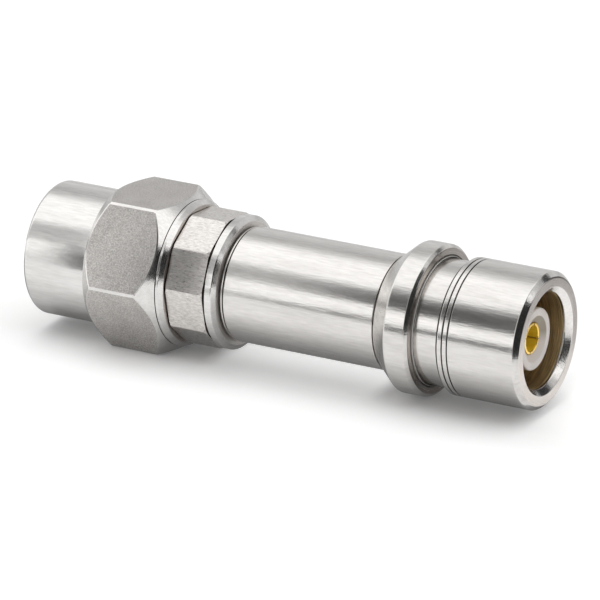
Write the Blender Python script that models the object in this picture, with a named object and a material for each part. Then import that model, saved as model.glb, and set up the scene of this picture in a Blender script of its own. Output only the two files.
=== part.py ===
"""Straight coaxial adapter: a screw-on plug with a captive hexagon nut, a long barrel and a push-on jack.

+X runs along the axis from the plug to the jack and +Z is up. The origin is on the axis, half way along.
Stations called x_... are measured from the nut's front face, and place() moves each piece back by MIDDLE.
"""

import math

import bmesh
import bpy
from mathutils import Matrix

MM = 0.001

# Steps round each turned piece and round the thin centre conductor, and how close points are one.
STEPS = 48
CORE_STEPS = 24
WELD = 0.0001 * MM

# Clearances: a press fit on a radius, faces that butt, the nut's running fit, and a tool past its work.
FIT = 0.02 * MM
BUTT = 0.03 * MM
RUNNING = 0.06 * MM
TOOL_CLEAR = 1.0 * MM

# Coupling nut, with a 1/4-36 thread and 8 mm across its flats.
NUT_ACROSS_FLATS = 8.0 * MM
NUT_CORNER_BREAK = 0.1 * MM
NUT_NOSE_R = 3.55 * MM
NUT_NOSE_LENGTH = 3.83 * MM
NUT_NOSE_BREAK = 0.18 * MM
NUT_HEX_LENGTH = 4.3 * MM
NUT_CHAMFER_ANGLE = math.radians(42)
NUT_HUB_R = 3.87 * MM
NUT_HUB_LENGTH = 0.41 * MM
NUT_HUB_BREAK = 0.22 * MM
NUT_MOUTH_R = 3.25 * MM
NUT_THREAD_R = 2.85 * MM
NUT_THREAD_END = 4.6 * MM
NUT_RELIEF_R = 3.2 * MM
NUT_RELIEF_LENGTH = 0.55 * MM

# Snap ring that holds the nut on the plug shell.
RING_X = 6.5 * MM
RING_WIDTH = 0.5 * MM
RING_INNER_R = 2.42 * MM
RING_OUTER_R = 3.08 * MM
RING_GAP_ANGLE = math.radians(30)
RING_SIDE_PLAY = 0.05 * MM
RING_DEPTH_PLAY = 0.08 * MM

# Plug, measured from its reference plane inside the nut.
PLUG_DEPTH = 3.0 * MM
LINE_R = 2.05 * MM
SHELL_TIP_R = 2.3 * MM
SHELL_TIP_LENGTH = 2.3 * MM
SHELL_R = 2.7 * MM
SHELL_EDGE = 0.06 * MM
PIN_R = 0.457 * MM
PIN_REACH = 2.5 * MM
PIN_CONE_LENGTH = 0.62 * MM
PIN_TIP_R = 0.07 * MM
PIN_STEP_DEPTH = 1.2 * MM
PIN_CORE_R = 0.635 * MM

# Wrench body with ten flats, and the round collar behind them.
WRENCH_PLAY = 0.06 * MM
WRENCH_SIDES = 10
WRENCH_ACROSS_FLATS = 6.85 * MM
WRENCH_TURN = math.radians(5)
WRENCH_LENGTH = 2.28 * MM
WRENCH_BLANK_R = 3.64 * MM
WRENCH_CHAMFER_LENGTH = 0.26 * MM
COLLAR_R = 3.54 * MM
COLLAR_LENGTH = 0.55 * MM
COLLAR_BREAK = 0.12 * MM
SHELL_SEAT_LENGTH = 1.9 * MM

# Barrel, with two fine grooves at its seam, and the spigots that enter it from both ends.
BARREL_LENGTH = 8.91 * MM
BARREL_R = 3.03 * MM
BARREL_EDGE = 0.05 * MM
SEAM_GROOVE_R = 2.86 * MM
SEAM_GROOVE = 0.07 * MM
SEAM_LAND_R = 2.99 * MM
SEAM_LAND = 0.1 * MM
SPIGOT_R = 2.55 * MM
SPIGOT_LENGTH = 2.2 * MM
BEAD_LENGTH = 0.9 * MM

# Centre conductor, in three pieces that plug into one another inside the barrel.
ROD_R = 0.89 * MM
JOINT_R = 0.42 * MM
JOINT_LENGTH = 1.2 * MM
JOINT_END_PLAY = 0.15 * MM
SHOULDER_LENGTH = 0.45 * MM

# Jack body: a coned flange, the neck and the spigot that carries the head.
FLANGE_R = 3.96 * MM
FLANGE_CONE_LENGTH = 1.12 * MM
FLANGE_RIM_LENGTH = 1.11 * MM
FLANGE_BREAK_LENGTH = 0.18 * MM
FLANGE_BREAK_DEPTH = 0.18 * MM
NECK_RING_R = 3.36 * MM
NECK_RING_LENGTH = 0.08 * MM
NECK_R = 3.27 * MM
NECK_LENGTH = 1.38 * MM
HEAD_SPIGOT_LENGTH = 1.3 * MM

# Head of the jack, with two scribed lines behind and a lip in front that traps the liner.
HEAD_LENGTH = 4.65 * MM
HEAD_R = 3.58 * MM
HEAD_REAR_BREAK = 0.1 * MM
HEAD_FRONT_BREAK = 0.26 * MM
HEAD_BORE_R = 2.95 * MM
SCRIBED_STATIONS = (0.41 * MM, 0.7 * MM)
SCRIBED_WIDTH = 0.09 * MM
SCRIBED_DEPTH = 0.06 * MM
LIP_R = 2.82 * MM
LIP_CHAMFER_LENGTH = 0.3 * MM
LIP_LAND = 0.12 * MM
RECESS_R = 2.51 * MM

# Insulator nose and slit socket in the jack's recess.
NOSE_R = 1.62 * MM
NOSE_SETBACK = 0.7 * MM
NOSE_DISH_R = 1.24 * MM
NOSE_DISH_DEPTH = 0.25 * MM
SOCKET_R = 0.83 * MM
SOCKET_BORE_R = 0.67 * MM
SOCKET_BORE_DEPTH = 3.0 * MM
SOCKET_SETBACK = 0.2 * MM
SOCKET_EDGE = 0.04 * MM
SLOT_WIDTH = 0.1 * MM
SLOT_LENGTH = 2.3 * MM
SLOT_TURN = math.radians(72)
JACK_INSULATOR_LENGTH = 4.4 * MM

# Stations along the axis.
x_plane = PLUG_DEPTH
x_nut_rear = NUT_NOSE_LENGTH + NUT_HEX_LENGTH + NUT_HUB_LENGTH
x_wrench_front = x_nut_rear + WRENCH_PLAY
x_shell_rear = x_wrench_front + SHELL_SEAT_LENGTH
x_collar_front = x_wrench_front + WRENCH_LENGTH
x_wrench_rear = x_collar_front + COLLAR_LENGTH
x_wrench_spigot = x_wrench_rear + SPIGOT_LENGTH
x_barrel_front = x_wrench_rear + BUTT
x_barrel_rear = x_barrel_front + BARREL_LENGTH
x_flange_front = x_barrel_rear + BUTT
x_jack_spigot = x_flange_front - SPIGOT_LENGTH
x_rim_front = x_flange_front + FLANGE_CONE_LENGTH
x_flange_rear = x_rim_front + FLANGE_RIM_LENGTH + FLANGE_BREAK_LENGTH
x_neck_rear = x_flange_rear + NECK_LENGTH
x_head_rear = x_neck_rear + BUTT
x_head_seat = x_neck_rear + HEAD_SPIGOT_LENGTH
x_jack_front = x_head_rear + HEAD_LENGTH
x_lip_rear = x_jack_front - LIP_CHAMFER_LENGTH - LIP_LAND
x_nose_front = x_jack_front - NOSE_SETBACK
x_socket_front = x_nose_front - SOCKET_SETBACK
x_jack_insulator_rear = x_head_seat - JACK_INSULATOR_LENGTH
x_pin_joint = x_shell_rear + BUTT + SHOULDER_LENGTH
x_socket_joint = x_jack_insulator_rear - BUTT - SHOULDER_LENGTH
MIDDLE = x_jack_front / 2


def finish_material(name, colour, metallic, roughness):
    """A plain Principled material."""
    made = bpy.data.materials.new(name)
    made.use_nodes = True
    shader = made.node_tree.nodes["Principled BSDF"]
    shader.inputs["Base Color"].default_value = (*colour, 1.0)
    shader.inputs["Metallic"].default_value = metallic
    shader.inputs["Roughness"].default_value = roughness
    made.diffuse_color = (*colour, 1.0)
    return made


def place(name, mesh, material=None):
    """Makes an object of a bmesh, moved back so that the middle of the adapter is the origin."""
    bmesh.ops.recalc_face_normals(mesh, faces=mesh.faces)
    bmesh.ops.translate(mesh, verts=mesh.verts, vec=(-MIDDLE, 0, 0))
    data = bpy.data.meshes.new(name)
    mesh.to_mesh(data)
    mesh.free()
    piece = bpy.data.objects.new(name, data)
    bpy.context.scene.collection.objects.link(piece)
    if material:
        data.materials.append(material)
        data.shade_smooth()
        data.set_sharp_from_angle(angle=math.radians(25))
    return piece


def turned(name, outline, material, steps=STEPS, sweep=math.tau):
    """Spins a closed outline of (x, r) points round the X axis. An edge that lies on the axis is left out."""
    mesh = bmesh.new()
    points = [mesh.verts.new((x, 0.0, r)) for x, r in outline]
    pairs = zip(points, points[1:] + points[:1])
    edges = [mesh.edges.new(pair) for pair in pairs if pair[0].co.z + pair[1].co.z > 0]
    whole = sweep == math.tau
    bmesh.ops.spin(
        mesh,
        geom=points + edges,
        cent=(0, 0, 0),
        axis=(1, 0, 0),
        angle=sweep,
        steps=steps,
        use_merge=whole,
    )
    bmesh.ops.remove_doubles(mesh, verts=mesh.verts, dist=WELD)
    if not whole:
        bmesh.ops.holes_fill(mesh, edges=mesh.edges, sides=len(outline))
    return place(name, mesh, material)


def prism(name, sides, stations, turn=0.0, corner_break=0.0):
    """A prism along X through (x, distance from the axis to a flat). The first flat faces turn away from +Z."""
    mesh = bmesh.new()
    rings = []
    for x, flat_r in stations:
        corner_r = flat_r / math.cos(math.pi / sides)
        angles = [turn + math.tau * (number + 0.5) / sides for number in range(sides)]
        ring = [mesh.verts.new((x, corner_r * math.sin(a), corner_r * math.cos(a))) for a in angles]
        rings.append(ring)
    for near, far in zip(rings, rings[1:]):
        for number in range(sides):
            mesh.faces.new((near[number - 1], near[number], far[number], far[number - 1]))
    mesh.faces.new(rings[0])
    mesh.faces.new(rings[-1])
    if corner_break:
        corners = [edge for edge in mesh.edges if abs(edge.verts[0].co.x - edge.verts[1].co.x) > WELD]
        bmesh.ops.bevel(mesh, geom=corners, offset=corner_break, segments=1, affect="EDGES")
    return place(name, mesh)


def shaped_by(piece, tool, operation):
    """Cuts a piece with a tool that isn't part of the adapter."""
    tool.hide_render = True
    tool.display_type = "WIRE"
    cut = piece.modifiers.new(tool.name, "BOOLEAN")
    cut.operation = operation
    cut.object = tool
    return piece


def build_coupling_nut(steel):
    """A turned blank with coned ends, trimmed by a hexagon so that each flat ends in an arc."""
    flat_r = NUT_ACROSS_FLATS / 2
    blank_r = flat_r / math.cos(math.pi / 6)
    cone_length = (blank_r - NUT_HUB_R) / math.tan(NUT_CHAMFER_ANGLE)
    x_hex_front = NUT_NOSE_LENGTH
    x_hex_rear = x_hex_front + NUT_HEX_LENGTH
    bore_r = SHELL_R + RUNNING
    groove_r = RING_OUTER_R + RING_DEPTH_PLAY
    groove_half = RING_WIDTH / 2 + RING_SIDE_PLAY
    x_relief_rear = NUT_THREAD_END + NUT_RELIEF_LENGTH
    outside = [
        (0, NUT_NOSE_R - NUT_NOSE_BREAK),
        (NUT_NOSE_BREAK, NUT_NOSE_R),
        (x_hex_front, NUT_NOSE_R),
        (x_hex_front, NUT_HUB_R),
        (x_hex_front + cone_length, blank_r),
        (x_hex_rear - cone_length, blank_r),
        (x_hex_rear, NUT_HUB_R),
        (x_nut_rear - NUT_HUB_BREAK, NUT_HUB_R),
        (x_nut_rear, NUT_HUB_R - NUT_HUB_BREAK),
    ]
    inside = [
        (x_nut_rear, bore_r),
        (RING_X + groove_half, bore_r),
        (RING_X + groove_half, groove_r),
        (RING_X - groove_half, groove_r),
        (RING_X - groove_half, bore_r),
        (x_relief_rear, bore_r),
        (x_relief_rear, NUT_RELIEF_R),
        (NUT_THREAD_END, NUT_RELIEF_R),
        (NUT_THREAD_END, NUT_THREAD_R),
        (NUT_MOUTH_R - NUT_THREAD_R, NUT_THREAD_R),
        (0, NUT_MOUTH_R),
    ]
    nut = turned("coupling_nut", outside + inside, steel)
    stations = [(-TOOL_CLEAR, flat_r), (x_nut_rear + TOOL_CLEAR, flat_r)]
    hexagon = prism("nut_hexagon", 6, stations, corner_break=NUT_CORNER_BREAK)
    return shaped_by(nut, hexagon, "INTERSECT")


def build_snap_ring(bronze):
    """An open ring that sits half in the shell's groove and half in the nut's."""
    x_front = RING_X - RING_WIDTH / 2
    x_rear = RING_X + RING_WIDTH / 2
    section = [(x_front, RING_INNER_R), (x_front, RING_OUTER_R), (x_rear, RING_OUTER_R), (x_rear, RING_INNER_R)]
    return turned("nut_snap_ring", section, bronze, sweep=math.tau - RING_GAP_ANGLE)


def build_plug_shell(gold):
    """The plug's outer contact, which runs back through the nut and into the wrench body."""
    groove_half = RING_WIDTH / 2 + RING_SIDE_PLAY
    groove_r = RING_INNER_R - RING_DEPTH_PLAY
    x_shoulder = x_plane + SHELL_TIP_LENGTH
    outline = [
        (x_plane, LINE_R),
        (x_plane, SHELL_TIP_R - SHELL_EDGE),
        (x_plane + SHELL_EDGE, SHELL_TIP_R),
        (x_shoulder, SHELL_TIP_R),
        (x_shoulder, SHELL_R),
        (RING_X - groove_half, SHELL_R),
        (RING_X - groove_half, groove_r),
        (RING_X + groove_half, groove_r),
        (RING_X + groove_half, SHELL_R),
        (x_shell_rear, SHELL_R),
        (x_shell_rear, LINE_R),
    ]
    return turned("plug_shell", outline, gold)


def build_plug_insulator(ptfe):
    """The white sleeve in the plug shell, bored wider behind to take the pin's core."""
    x_front = x_plane + BUTT
    x_step = x_plane + PIN_STEP_DEPTH
    outline = [
        (x_front, PIN_R + FIT),
        (x_front, LINE_R - FIT),
        (x_shell_rear, LINE_R - FIT),
        (x_shell_rear, PIN_CORE_R + FIT),
        (x_step, PIN_CORE_R + FIT),
        (x_step, PIN_R + FIT),
    ]
    return turned("plug_insulator", outline, ptfe)


def build_centre_pin(gold):
    """The plug's pin: a pointed tip, a thicker core, a shoulder and the joint that enters the rod."""
    x_tip = x_plane - PIN_REACH
    x_step = x_plane + PIN_STEP_DEPTH + BUTT
    x_shoulder = x_pin_joint - SHOULDER_LENGTH
    x_joint_end = x_pin_joint + JOINT_LENGTH
    outline = [
        (x_tip, 0),
        (x_tip, PIN_TIP_R),
        (x_tip + PIN_CONE_LENGTH, PIN_R),
        (x_step, PIN_R),
        (x_step, PIN_CORE_R),
        (x_shoulder, PIN_CORE_R),
        (x_shoulder, ROD_R),
        (x_pin_joint, ROD_R),
        (x_pin_joint, JOINT_R),
        (x_joint_end, JOINT_R),
        (x_joint_end, 0),
    ]
    return turned("centre_pin", outline, gold, CORE_STEPS)


def build_centre_rod(gold):
    """The rod through the barrel, drilled at both ends for the pin's and the socket's joints."""
    drilled_r = JOINT_R + FIT
    depth = JOINT_LENGTH + JOINT_END_PLAY
    x_front = x_pin_joint + BUTT
    x_rear = x_socket_joint - BUTT
    outline = [
        (x_front + depth, 0),
        (x_front + depth, drilled_r),
        (x_front, drilled_r),
        (x_front, ROD_R),
        (x_rear, ROD_R),
        (x_rear, drilled_r),
        (x_rear - depth, drilled_r),
        (x_rear - depth, 0),
    ]
    return turned("centre_rod", outline, gold, CORE_STEPS)


def build_wrench_body(steel):
    """Round bar with ten flats, a full-round collar behind them, and a spigot into the barrel."""
    seat_r = SHELL_R + FIT
    x_seat = x_shell_rear + BUTT
    front_break = WRENCH_BLANK_R - COLLAR_R
    outline = [
        (x_wrench_front, seat_r),
        (x_wrench_front, COLLAR_R),
        (x_wrench_front + front_break, WRENCH_BLANK_R),
        (x_collar_front - WRENCH_CHAMFER_LENGTH, WRENCH_BLANK_R),
        (x_collar_front, COLLAR_R),
        (x_wrench_rear - COLLAR_BREAK, COLLAR_R),
        (x_wrench_rear, COLLAR_R - COLLAR_BREAK),
        (x_wrench_rear, SPIGOT_R),
        (x_wrench_spigot, SPIGOT_R),
        (x_wrench_spigot, LINE_R),
        (x_seat, LINE_R),
        (x_seat, seat_r),
    ]
    body = turned("wrench_body", outline, steel)
    flat_r = WRENCH_ACROSS_FLATS / 2
    clear_r = COLLAR_R + TOOL_CLEAR
    stations = [
        (x_wrench_front - TOOL_CLEAR, flat_r),
        (x_collar_front, flat_r),
        (x_collar_front, clear_r),
        (x_wrench_spigot + TOOL_CLEAR, clear_r),
    ]
    return shaped_by(body, prism("wrench_flats", WRENCH_SIDES, stations, WRENCH_TURN), "INTERSECT")


def build_barrel_tube(steel):
    """The long plain tube, with a groove, a land and a second groove at the seam to the collar."""
    socket_r = SPIGOT_R + FIT
    x_land_front = x_barrel_front + SEAM_GROOVE
    x_land_rear = x_land_front + SEAM_LAND
    x_skin = x_land_rear + SEAM_GROOVE
    x_front_seat = x_wrench_spigot + BUTT + BEAD_LENGTH + BUTT
    x_rear_seat = x_jack_spigot - BUTT - BEAD_LENGTH - BUTT
    outline = [
        (x_barrel_front, socket_r),
        (x_barrel_front, SEAM_GROOVE_R),
        (x_land_front, SEAM_GROOVE_R),
        (x_land_front, SEAM_LAND_R),
        (x_land_rear, SEAM_LAND_R),
        (x_land_rear, SEAM_GROOVE_R),
        (x_skin, SEAM_GROOVE_R),
        (x_skin, BARREL_R - BARREL_EDGE),
        (x_skin + BARREL_EDGE, BARREL_R),
        (x_barrel_rear - BARREL_EDGE, BARREL_R),
        (x_barrel_rear, BARREL_R - BARREL_EDGE),
        (x_barrel_rear, socket_r),
        (x_rear_seat, socket_r),
        (x_rear_seat, LINE_R),
        (x_front_seat, LINE_R),
        (x_front_seat, socket_r),
    ]
    return turned("barrel_tube", outline, steel)


def build_bead(name, x_front, plastic):
    """A support bead that centres the rod in the barrel."""
    x_rear = x_front + BEAD_LENGTH
    hub_r = ROD_R + FIT
    outline = [(x_front, hub_r), (x_front, SPIGOT_R), (x_rear, SPIGOT_R), (x_rear, hub_r)]
    return turned(name, outline, plastic)


def build_jack_body(steel):
    """Flange and neck in one turned piece, with a spigot into the barrel and one into the head."""
    x_ring_rear = x_flange_rear + NECK_RING_LENGTH
    outline = [
        (x_jack_spigot, LINE_R),
        (x_jack_spigot, SPIGOT_R),
        (x_flange_front, SPIGOT_R),
        (x_flange_front, BARREL_R - BARREL_EDGE),
        (x_rim_front, FLANGE_R),
        (x_flange_rear - FLANGE_BREAK_LENGTH, FLANGE_R),
        (x_flange_rear, FLANGE_R - FLANGE_BREAK_DEPTH),
        (x_flange_rear, NECK_RING_R),
        (x_ring_rear, NECK_RING_R),
        (x_ring_rear, NECK_R),
        (x_neck_rear, NECK_R),
        (x_neck_rear, HEAD_BORE_R - FIT),
        (x_head_seat, HEAD_BORE_R - FIT),
        (x_head_seat, LINE_R),
    ]
    return turned("jack_body", outline, steel)


def build_jack_head(steel):
    """The jack's outer shell: two scribed lines behind, a chamfered lip in front."""
    outline = [
        (x_head_rear, HEAD_BORE_R),
        (x_head_rear, HEAD_R - HEAD_REAR_BREAK),
        (x_head_rear + HEAD_REAR_BREAK, HEAD_R),
    ]
    for station in SCRIBED_STATIONS:
        x_line = x_head_rear + station
        outline.append((x_line - SCRIBED_WIDTH / 2, HEAD_R))
        outline.append((x_line, HEAD_R - SCRIBED_DEPTH))
        outline.append((x_line + SCRIBED_WIDTH / 2, HEAD_R))
    outline += [
        (x_jack_front - HEAD_FRONT_BREAK, HEAD_R),
        (x_jack_front, HEAD_R - HEAD_FRONT_BREAK),
        (x_jack_front, LIP_R),
        (x_jack_front - LIP_CHAMFER_LENGTH, RECESS_R),
        (x_lip_rear, RECESS_R),
        (x_lip_rear, HEAD_BORE_R),
    ]
    return turned("jack_head", outline, steel)


def build_jack_liner(bronze):
    """The contact sleeve that lines the recess, trapped between the lip and the jack body."""
    x_front = x_lip_rear - BUTT
    x_rear = x_head_seat + BUTT
    outer_r = HEAD_BORE_R - FIT
    outline = [(x_rear, RECESS_R), (x_rear, outer_r), (x_front, outer_r), (x_front, RECESS_R)]
    return turned("jack_liner", outline, bronze)


def build_jack_insulator(ptfe):
    """The jack's white sleeve: a plug in the body and a nose in the recess, dished round the socket."""
    hole_r = SOCKET_R + FIT
    outline = [
        (x_jack_insulator_rear, hole_r),
        (x_jack_insulator_rear, LINE_R - FIT),
        (x_head_seat, LINE_R - FIT),
        (x_head_seat, NOSE_R),
        (x_nose_front, NOSE_R),
        (x_nose_front, NOSE_DISH_R),
        (x_nose_front - NOSE_DISH_DEPTH, hole_r),
    ]
    return turned("jack_insulator", outline, ptfe)


def slot_saw(name, turn):
    """A thin blade across the socket's diameter."""
    mesh = bmesh.new()
    bmesh.ops.create_cube(mesh, size=1.0)
    length = SLOT_LENGTH + TOOL_CLEAR
    middle = x_socket_front - SLOT_LENGTH + length / 2
    bmesh.ops.scale(mesh, verts=mesh.verts, vec=(length, SLOT_WIDTH, 2 * (SOCKET_R + TOOL_CLEAR)))
    bmesh.ops.translate(mesh, verts=mesh.verts, vec=(middle, 0, 0))
    bmesh.ops.rotate(mesh, verts=mesh.verts, cent=(0, 0, 0), matrix=Matrix.Rotation(turn, 3, "X"))
    return place(name, mesh)


def build_jack_socket(gold):
    """The jack's centre contact: a drilled tube slit into four fingers, with a joint into the rod."""
    x_shoulder = x_socket_joint + SHOULDER_LENGTH
    x_joint_end = x_socket_joint - JOINT_LENGTH
    outline = [
        (x_joint_end, 0),
        (x_joint_end, JOINT_R),
        (x_socket_joint, JOINT_R),
        (x_socket_joint, ROD_R),
        (x_shoulder, ROD_R),
        (x_shoulder, SOCKET_R),
        (x_socket_front - SOCKET_EDGE, SOCKET_R),
        (x_socket_front, SOCKET_R - SOCKET_EDGE),
        (x_socket_front, SOCKET_BORE_R),
        (x_socket_front - SOCKET_BORE_DEPTH, SOCKET_BORE_R),
        (x_socket_front - SOCKET_BORE_DEPTH, 0),
    ]
    socket = turned("jack_socket", outline, gold, CORE_STEPS)
    for number, turn in enumerate((SLOT_TURN, SLOT_TURN + math.pi / 2)):
        shaped_by(socket, slot_saw(f"socket_saw_{number}", turn), "DIFFERENCE")
    return socket


def build_adapter():
    steel = finish_material("turned_steel", (0.62, 0.61, 0.59), 1.0, 0.3)
    nut_steel = finish_material("matt_steel", (0.58, 0.57, 0.55), 1.0, 0.45)
    gold = finish_material("gold_plate", (0.83, 0.6, 0.22), 1.0, 0.22)
    bronze = finish_material("bronze", (0.42, 0.34, 0.24), 1.0, 0.35)
    ptfe = finish_material("white_ptfe", (0.86, 0.86, 0.87), 0.0, 0.45)
    amber = finish_material("amber_plastic", (0.62, 0.36, 0.1), 0.0, 0.35)
    build_coupling_nut(nut_steel)
    build_snap_ring(bronze)
    build_plug_shell(gold)
    build_plug_insulator(ptfe)
    build_centre_pin(gold)
    build_centre_rod(gold)
    build_wrench_body(steel)
    build_barrel_tube(steel)
    build_bead("plug_bead", x_wrench_spigot + BUTT, amber)
    build_bead("jack_bead", x_jack_spigot - BUTT - BEAD_LENGTH, amber)
    build_jack_body(steel)
    build_jack_head(steel)
    build_jack_liner(bronze)
    build_jack_insulator(ptfe)
    build_jack_socket(gold)


for leftover in list(bpy.data.objects):
    bpy.data.objects.remove(leftover)
build_adapter()
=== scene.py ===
"""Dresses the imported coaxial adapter: turned pieces, flats, a thread, a slit socket and their finishes.

Sizes are in millimetres in the names below and become metres in the meshes. Stations run from the nut's
front face to the jack's front face, and MIDDLE, half way along, is the frame's origin. The points of an
outline are (x, r) or (x, r, ease): station, radius, and how far from its corner the rounding starts.
"""

import math

import bmesh
import bpy
from mathutils import Matrix, Vector


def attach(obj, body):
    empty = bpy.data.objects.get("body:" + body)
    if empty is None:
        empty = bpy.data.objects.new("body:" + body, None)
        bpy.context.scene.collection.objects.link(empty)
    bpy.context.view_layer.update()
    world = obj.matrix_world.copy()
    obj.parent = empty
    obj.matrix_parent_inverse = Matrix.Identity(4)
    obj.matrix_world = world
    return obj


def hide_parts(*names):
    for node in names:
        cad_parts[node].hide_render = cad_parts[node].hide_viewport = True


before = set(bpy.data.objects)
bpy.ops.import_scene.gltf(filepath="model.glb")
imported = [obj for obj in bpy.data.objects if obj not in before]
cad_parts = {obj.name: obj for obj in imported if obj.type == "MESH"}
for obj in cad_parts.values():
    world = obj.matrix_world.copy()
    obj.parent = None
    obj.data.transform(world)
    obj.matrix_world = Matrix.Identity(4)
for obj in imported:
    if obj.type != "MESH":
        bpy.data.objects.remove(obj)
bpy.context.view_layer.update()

MM = 0.001
LENGTH = 28.87
MIDDLE = LENGTH / 2
FLOOR_Z = -4.0

# Steps round a turned piece, a thin one and the thread, and across a finger of the socket.
STEPS = 192
THIN_STEPS = 96
THREAD_STEPS = 96
FINGER_STEPS = 24

# Facets in an eased corner, the most that it takes of an edge, how far off its support points stand, and
# the strip that does their work beside a flat's edge.
CORNER_FACETS = 5
CORNER_SHARE = 0.42
SUPPORT = 0.03
FLAT_STRIP = 0.02

# Points nearer than WELD are one, and edges over SHARP degrees shade sharp. A face is square to the axis
# where its normal has more than the share SQUARE along it, and round where it leans sideways by less than
# ROUND_LEAN.
WELD = 0.0002
SHARP = 24
SQUARE = 0.9
ROUND_LEAN = 0.004

# Clearance round a piece that slides into another, the gap before a shoulder, and a hair's breadth for the
# lean of a groove's wall and the limits about a face that gets another finish.
SLIP = 0.02
GAP = 0.03
HAIR = 0.01

# Camera, fitted to the turned edges in the photo.
AZIMUTH = math.radians(28.8)
ELEVATION = math.radians(20.8)
DISTANCE = 300.0
AIM = (0.145, 0.0, -0.365)
LENS = 349.2

# Coupling nut. STRIPS are the steps across a flat, and EDGE_LEAN the slope of its eased edges.
NUT_FLATS = 6
NUT_STRIPS = 26
NUT_SHARP = 20
EDGE_LEAN = (0.1, 0.6)
FLAT_R = 4.0
CORNER_R = 4.569
CORNER_HALF = 0.0866
CHAMFER = math.radians(42)
CONE_FOOT = 0.05
HEX_EDGE = 0.045
HEX_REAR = 8.13
NOSE_R = 3.55
NOSE_LENGTH = 3.83
NOSE_BREAK_X = 0.16
NOSE_BREAK_R = 0.14
HUB_R = 3.87
HUB_BREAK = 0.22
HUB_LINE = 0.05
HUB_LINE_DEPTH = 0.04
NUT_REAR = 8.54
MOUTH_R = 3.3
MOUTH_BREAK = 0.12
ROOT_R = 3.2
RELIEF_END = 5.15
NUT_BORE_R = 2.76
NUT_BORE_BREAK = 0.1
NUT_GROOVE_R = 3.16
GROOVE_FRONT = 6.2
GROOVE_REAR = 6.8

# Thread.
CREST_R = 2.86
PITCH = 0.7056
THREAD_START = 0.3
THREAD_LENGTH = 4.18
RUN_OUT_TURNS = 0.5

# Plug.
PLANE = 3.0
LINE_R = 2.05
SHELL_R = 2.7
SHELL_GROOVE_R = 2.34
TIP_R = 2.3
TIP_END = 5.3
SHELL_REAR = 10.5
PIN_R = 0.457
PIN_TIP = 0.5
PIN_TIP_R = 0.07
PIN_POINT = 0.62
PIN_SHOULDER = 4.2
PIN_CORE_R = 0.635
PIN_DISC_REAR = 10.98
PIN_REAR = 12.18
ROD_R = 0.89
STUB_R = 0.42

# Wrench body.
WRENCH_FLATS = 10
WRENCH_STRIPS = 12
WRENCH_SHARP = 16
WRENCH_FRONT = 8.585
WRENCH_FLAT_R = 3.425
WRENCH_CORNER_R = 3.59
WRENCH_CORNER_CONE = 2.6
WRENCH_TURN = math.radians(5)
WRENCH_EDGE = 0.02
UNDERCUT_FRONT = 10.75
UNDERCUT_R = 3.345
COLLAR_FRONT = 10.88
COLLAR_R = 3.54
COLLAR_REAR = 11.43
COLLAR_CONE_X = 0.18
COLLAR_CONE_R = 0.28
SPIGOT_R = 2.55
WRENCH_SPIGOT = 13.63

# Barrel.
BARREL_FRONT = 11.46
LAND_FRONT = 11.53
LAND_REAR = 11.63
SEAM_REAR = 11.7
BARREL_REAR = 20.37
BARREL_R = 3.03
GROOVE_R = 2.86
LAND_R = 2.99
THICK_FRONT = 14.59
THICK_REAR = 17.24

# Jack.
JACK_SPIGOT = 18.2
FLANGE_FRONT = 20.4
FLANGE_FRONT_X = 0.04
FLANGE_FRONT_R = 0.05
RIM_FRONT = 21.52
RIM_REAR = 22.63
FLANGE_REAR = 22.81
FLANGE_R = 3.96
FLANGE_BREAK = 0.18
FOOT_R = 3.45
FOOT_DEPTH = 0.06
NECK_RING_R = 3.36
NECK_RING_REAR = 22.89
NECK_R = 3.27
NECK_REAR = 24.19
HEAD_REAR = 24.22
HEAD_BREAK = 0.16
HEAD_LINES = (24.63, 24.92)
LINE_HALF = 0.04
LINE_FLOOR_HALF = 0.025
LINE_DEPTH = 0.06
HEAD_SEAT = 25.49
HEAD_R = 3.58
HEAD_BORE_R = 2.95
HEAD_CHAMFER = 0.26
LIP_REAR = 28.45
LIP_R = 2.82
LIP_CONE = 0.3
RECESS_R = 2.51
NOSE_FRONT = 28.17
INSULATOR_REAR = 21.09
PTFE_R = 1.62
DISH_R = 1.24
DISH_DEPTH = 0.25
SOCKET_STUB = 19.41
SOCKET_DISC = 20.61
SOCKET_DISC_REAR = 21.06
SOCKET_FRONT = 27.97
SOCKET_R = 0.83
SOCKET_BORE_R = 0.67
SOCKET_BORE_END = 24.97
SLOT_END = 25.67
SLOT_HALF = 0.035
SLOT_TURN = math.radians(72)
FINGERS = 4


def node(tree, kind, inputs=None, **settings):
    """Adds a node, and links or sets its inputs by name or number."""
    made = tree.nodes.new(kind)
    for key, value in settings.items():
        setattr(made, key, value)
    for key, value in (inputs or {}).items():
        if isinstance(value, bpy.types.NodeSocket):
            tree.links.new(value, made.inputs[key])
        else:
            made.inputs[key].default_value = value
    return made


def maths(tree, operation, *values):
    """The result of a Math node."""
    return node(tree, "ShaderNodeMath", dict(enumerate(values)), operation=operation).outputs[0]


def product(tree, value, *others):
    """Several values multiplied."""
    for other in others:
        value = maths(tree, "MULTIPLY", value, other)
    return value


def weighed(tree, *parts):
    """The sum of values, each given with its weight."""
    total = 0.0
    for value, weight in parts:
        total = maths(tree, "MULTIPLY_ADD", value, weight, total)
    return total


def ramp(tree, value, stops, interpolation="LINEAR"):
    """The colour of a ramp through (position, grey or colour) stops."""
    made = node(tree, "ShaderNodeValToRGB", {0: value})
    made.color_ramp.interpolation = interpolation
    elements = made.color_ramp.elements
    while len(elements) < len(stops):
        elements.new(0.5)
    for element, (position, tone) in zip(elements, stops):
        element.position = position
        rgb = (tone, tone, tone) if isinstance(tone, (int, float)) else tone
        element.color = (*rgb, 1.0)
    return made.outputs[0]


def map_range(tree, value, low, high):
    """Stretches 0..1 to low..high."""
    return node(tree, "ShaderNodeMapRange", {0: value, 3: low, 4: high}).outputs[0]


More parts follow.
